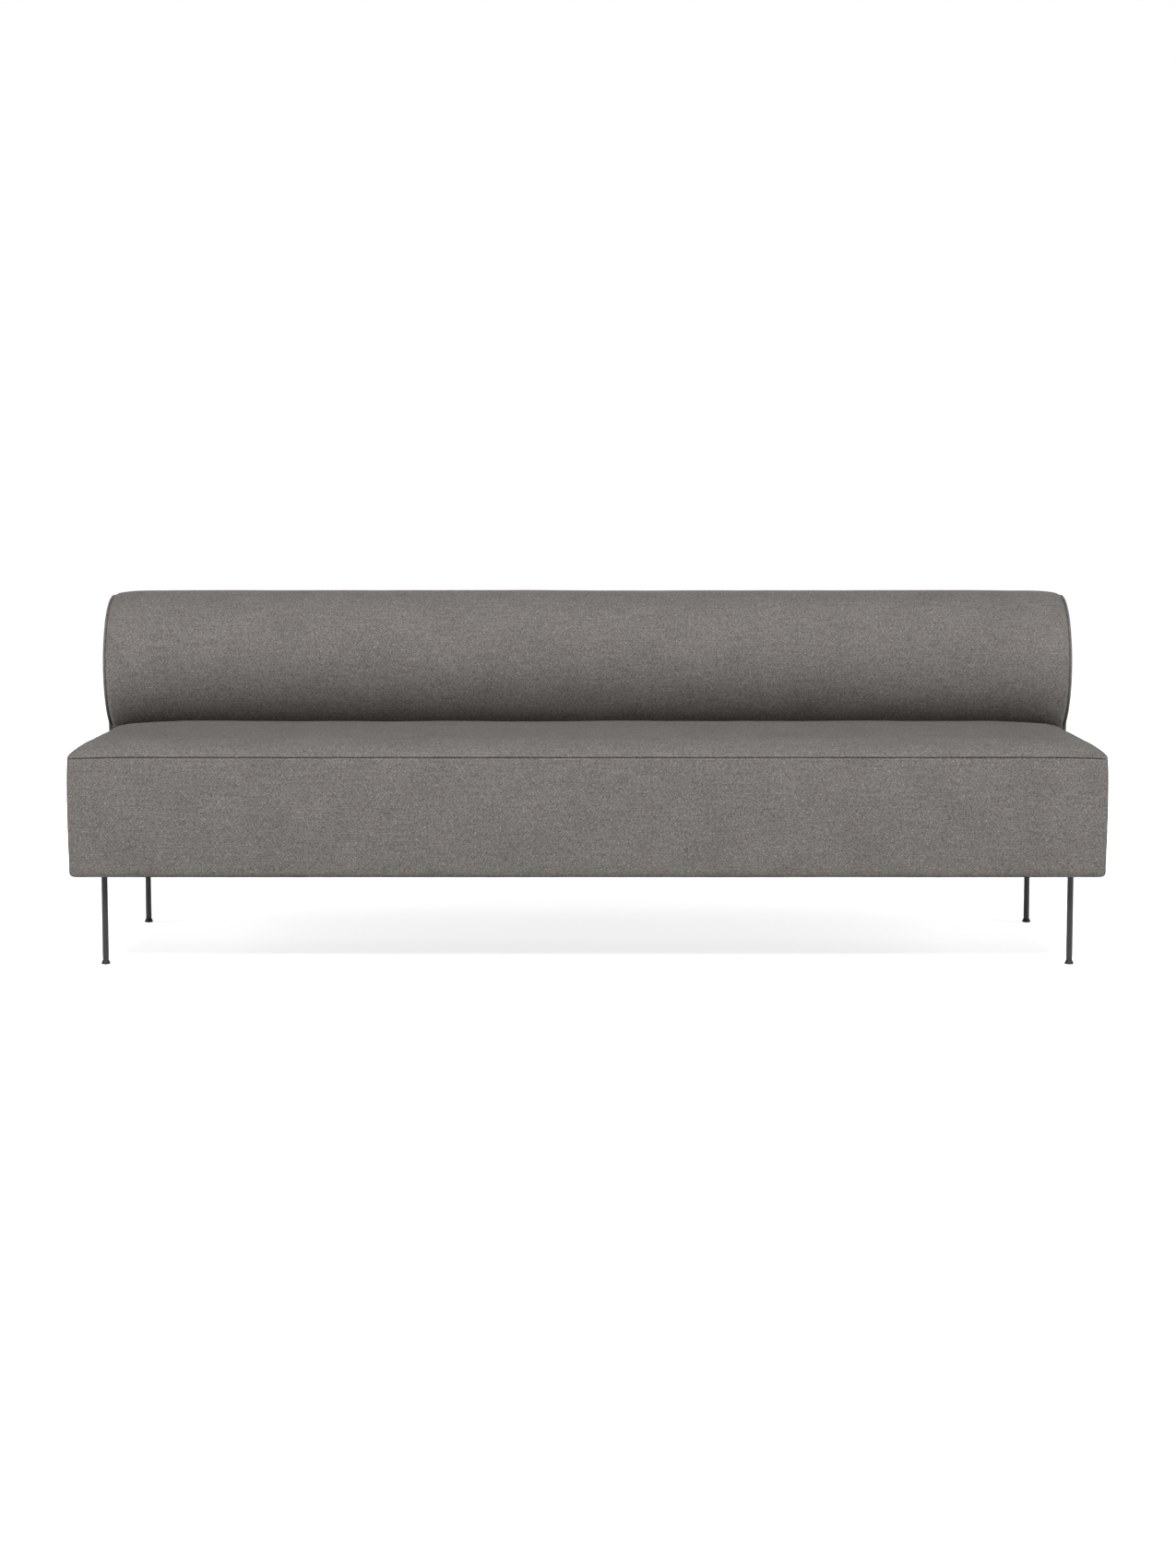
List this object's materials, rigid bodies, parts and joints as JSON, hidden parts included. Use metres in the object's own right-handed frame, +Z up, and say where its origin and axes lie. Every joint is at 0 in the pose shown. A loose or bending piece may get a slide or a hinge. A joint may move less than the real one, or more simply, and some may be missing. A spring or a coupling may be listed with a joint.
{
  "type": "armless sofa",
  "caption": "Armless upholstered bench sofa with a box seat, a long roll-shaped back on a narrow foot, thin steel rod legs and levelling feet.",
  "frame": {"origin": "on the floor, under the middle of the sofa's outline", "axes": "+X to the right of someone facing the sofa, along its length; +Y from its front to its back; +Z up"},
  "size_m": [2, 0.66, 0.7109],
  "materials": {
    "upholstery": "woven melange, grey-brown",
    "foam": "open-cell foam",
    "wadding": "polyester wadding",
    "webbing": "elastic webbing",
    "dust_cloth": "non-woven cloth",
    "plywood": "unfinished plywood",
    "softwood": "unfinished softwood",
    "thin_board": "unfinished hardboard",
    "leg_paint": "matt powder coat",
    "foot_steel": "matt powder coat",
    "zinc_steel": "zinc plated",
    "glide_plastic": "moulded"
  },
  "bodies": {
    "sofa": {"back_bolts": "zinc_steel", "back_foam": "foam", "back_panel": "upholstery", "back_washers": "zinc_steel", "base_board": "plywood", "battens": "softwood", "corner_blocks": "softwood", "cross_belts": "webbing", "cross_rails": "plywood", "deck": "plywood", "dust_cover": "dust_cloth", "end_panel_left": "upholstery", "end_panel_right": "upholstery", "end_plug_left": "foam", "end_plug_right": "foam", "front_panel": "upholstery", "front_rail": "plywood", "left_panel": "upholstery", "left_rail": "plywood", "leg_front_left": "leg_paint", "leg_front_right": "leg_paint", "leg_nuts": "zinc_steel", "leg_plates": "zinc_steel", "leg_rear_left": "leg_paint", "leg_rear_right": "leg_paint", "long_belts": "webbing", "middle_rail": "plywood", "neck_board": "thin_board", "piping_left": "upholstery", "piping_right": "upholstery", "plate_screws": "zinc_steel", "rail_padding_front": "foam", "rail_padding_left": "foam", "rail_padding_rear": "foam", "rail_padding_right": "foam", "rear_board": "thin_board", "rear_panel": "upholstery", "rear_rail": "plywood", "ribs": "plywood", "right_panel": "upholstery", "right_rail": "plywood", "seat_foam": "foam", "seat_wadding": "wadding", "tee_nuts": "zinc_steel", "top_panel": "upholstery", "webbing_ledger": "softwood"},
    "leveller_front_left": {"foot_front_left": "foot_steel", "pad_front_left": "glide_plastic"},
    "leveller_front_right": {"foot_front_right": "foot_steel", "pad_front_right": "glide_plastic"},
    "leveller_rear_left": {"foot_rear_left": "foot_steel", "pad_rear_left": "glide_plastic"},
    "leveller_rear_right": {"foot_rear_right": "foot_steel", "pad_rear_right": "glide_plastic"}
  },
  "joints": [
    {"name": "level_front_left", "type": "slide", "parent": "sofa", "child": "leveller_front_left", "axis": [0, 0, -1], "range_m": [0, 0.008]},
    {"name": "level_front_right", "type": "slide", "parent": "sofa", "child": "leveller_front_right", "axis": [0, 0, -1], "range_m": [0, 0.008]},
    {"name": "level_rear_left", "type": "slide", "parent": "sofa", "child": "leveller_rear_left", "axis": [0, 0, -1], "range_m": [0, 0.008]},
    {"name": "level_rear_right", "type": "slide", "parent": "sofa", "child": "leveller_rear_right", "axis": [0, 0, -1], "range_m": [0, 0.008]}
  ]
}
